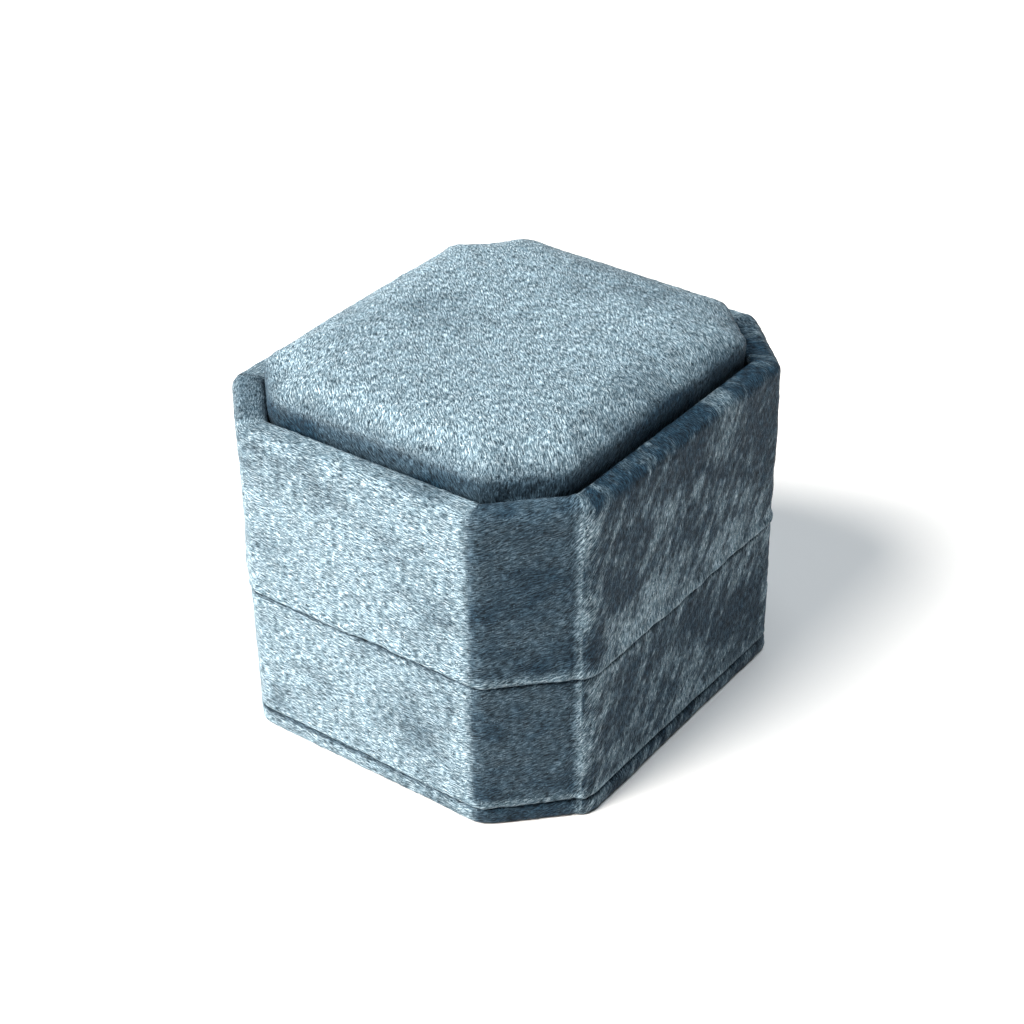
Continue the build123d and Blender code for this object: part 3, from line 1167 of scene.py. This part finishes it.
studio = {
    "cameraAzimuth": 216.675,       # degrees from +X towards +Y
    "cameraElevation": 32.442,
    "cameraRoll": -0.856,
    "cameraDistance": 252.1 * mm,
    "cameraRise": 18.01 * mm,       # what it looks at lies this far up its own upright
    "lens": 69.72,
    "lightAim": 20 * mm,                # how high up the box the lights look
    "lights": {                     # azimuth, elevation in degrees, distance and size in metres, watts
        "low window": (135, 14, 2.4, 1.0, 120.0),
        "high window": (158, 47, 2.4, 1.3, 120.0),
        "overhead": (320, 80, 2.8, 2.0, 62.0),
    },
    "windowColour": (1.0, 0.95, 0.89),
    "overheadColour": (0.90, 0.96, 1.0),
    "backdrop": (0.92, 0.93, 0.94),     # the pale wall, up to backdropTop
    "backdropTop": 5,                   # degrees above the horizon
    "backdropFade": 0.12,               # how softly it ends, in sines
    "ceiling": (0.045, 0.047, 0.05),    # the dark room above it
    "floor": (0.72, 0.72, 0.72),
    "floorHalf": 0.8,                   # metres from the middle to an edge
    "exposure": 0.0,
}


# A unit vector: the cosine of the elevation times the cosine and the sine of the azimuth, and the
# sine of the elevation.
def direction(azimuth, elevation):
    azimuth, elevation = math.radians(azimuth), math.radians(elevation)
    level = math.cos(elevation)
    return Vector((level * math.cos(azimuth), level * math.sin(azimuth), math.sin(elevation)))


def makeCamera(look):
    roll = math.radians(look["cameraRoll"])
    back = direction(look["cameraAzimuth"], look["cameraElevation"])
    level = (-back).cross(Vector((0, 0, 1))).normalized()
    upright = level.cross(-back)
    right = math.cos(roll) * level + math.sin(roll) * upright
    up = -math.sin(roll) * level + math.cos(roll) * upright
    place = back * look["cameraDistance"] + up * look["cameraRise"]
    data = bpy.data.cameras.new("camera")
    data.lens = look["lens"]
    data.sensor_width = 36
    data.clip_start = 0.01
    data.clip_end = 20
    camera = bpy.data.objects.new("camera", data)
    camera.matrix_world = Matrix((right, up, back)).transposed().to_4x4()
    camera.location = place
    bpy.context.scene.collection.objects.link(camera)
    bpy.context.scene.camera = camera


# A round softbox that looks at the box from an azimuth and an elevation.
def softbox(name, aim, azimuth, elevation, distance, size, power, colour):
    away = direction(azimuth, elevation)
    data = bpy.data.lights.new(name, "AREA")
    data.shape = "DISK"
    data.size = size
    data.energy = power
    data.color = colour
    light = bpy.data.objects.new(name, data)
    light.location = Vector((0, 0, aim)) + away * distance
    light.rotation_euler = away.to_track_quat("Z", "Y").to_euler()
    bpy.context.scene.collection.objects.link(light)


def makeFloor(look):
    half = look["floorHalf"]
    mesh = bpy.data.meshes.new("floor")
    mesh.from_pydata([(-half, -half, 0), (half, -half, 0), (half, half, 0), (-half, half, 0)], [],
                     [(0, 1, 2, 3)])
    floor = bpy.data.objects.new("floor", mesh)
    bpy.context.scene.collection.objects.link(floor)
    material, tree, shader = newMaterial("pale floor")
    shader.inputs["Base Color"].default_value = (*look["floor"], 1)
    shader.inputs["Roughness"].default_value = 0.9
    shader.inputs["Specular IOR Level"].default_value = 0.0
    floor.data.materials.append(material)


def lightStudio(look):
    for name, light in look["lights"].items():
        colour = look["windowColour"] if "window" in name else look["overheadColour"]
        softbox(name, look["lightAim"], *light, colour)
    world = bpy.data.worlds.new("studio")
    world.use_nodes = True
    tree = world.node_tree
    coords = tree.nodes.new("ShaderNodeTexCoord")
    upward = vectorMaths(tree, "DOT_PRODUCT", coords.outputs["Generated"], (0, 0, 1))
    top = math.sin(math.radians(look["backdropTop"]))
    high = spread(tree, upward, top, top + look["backdropFade"], smooth=True)
    colour = mixColours(tree, high, look["backdrop"], look["ceiling"])
    link(tree, colour, tree.nodes["Background"].inputs["Color"])
    scene = bpy.context.scene
    scene.world = world
    scene.view_settings.view_transform = "Standard"
    scene.view_settings.exposure = look["exposure"]


makeCamera(studio)
makeFloor(studio)
lightStudio(studio)
print("studio made")
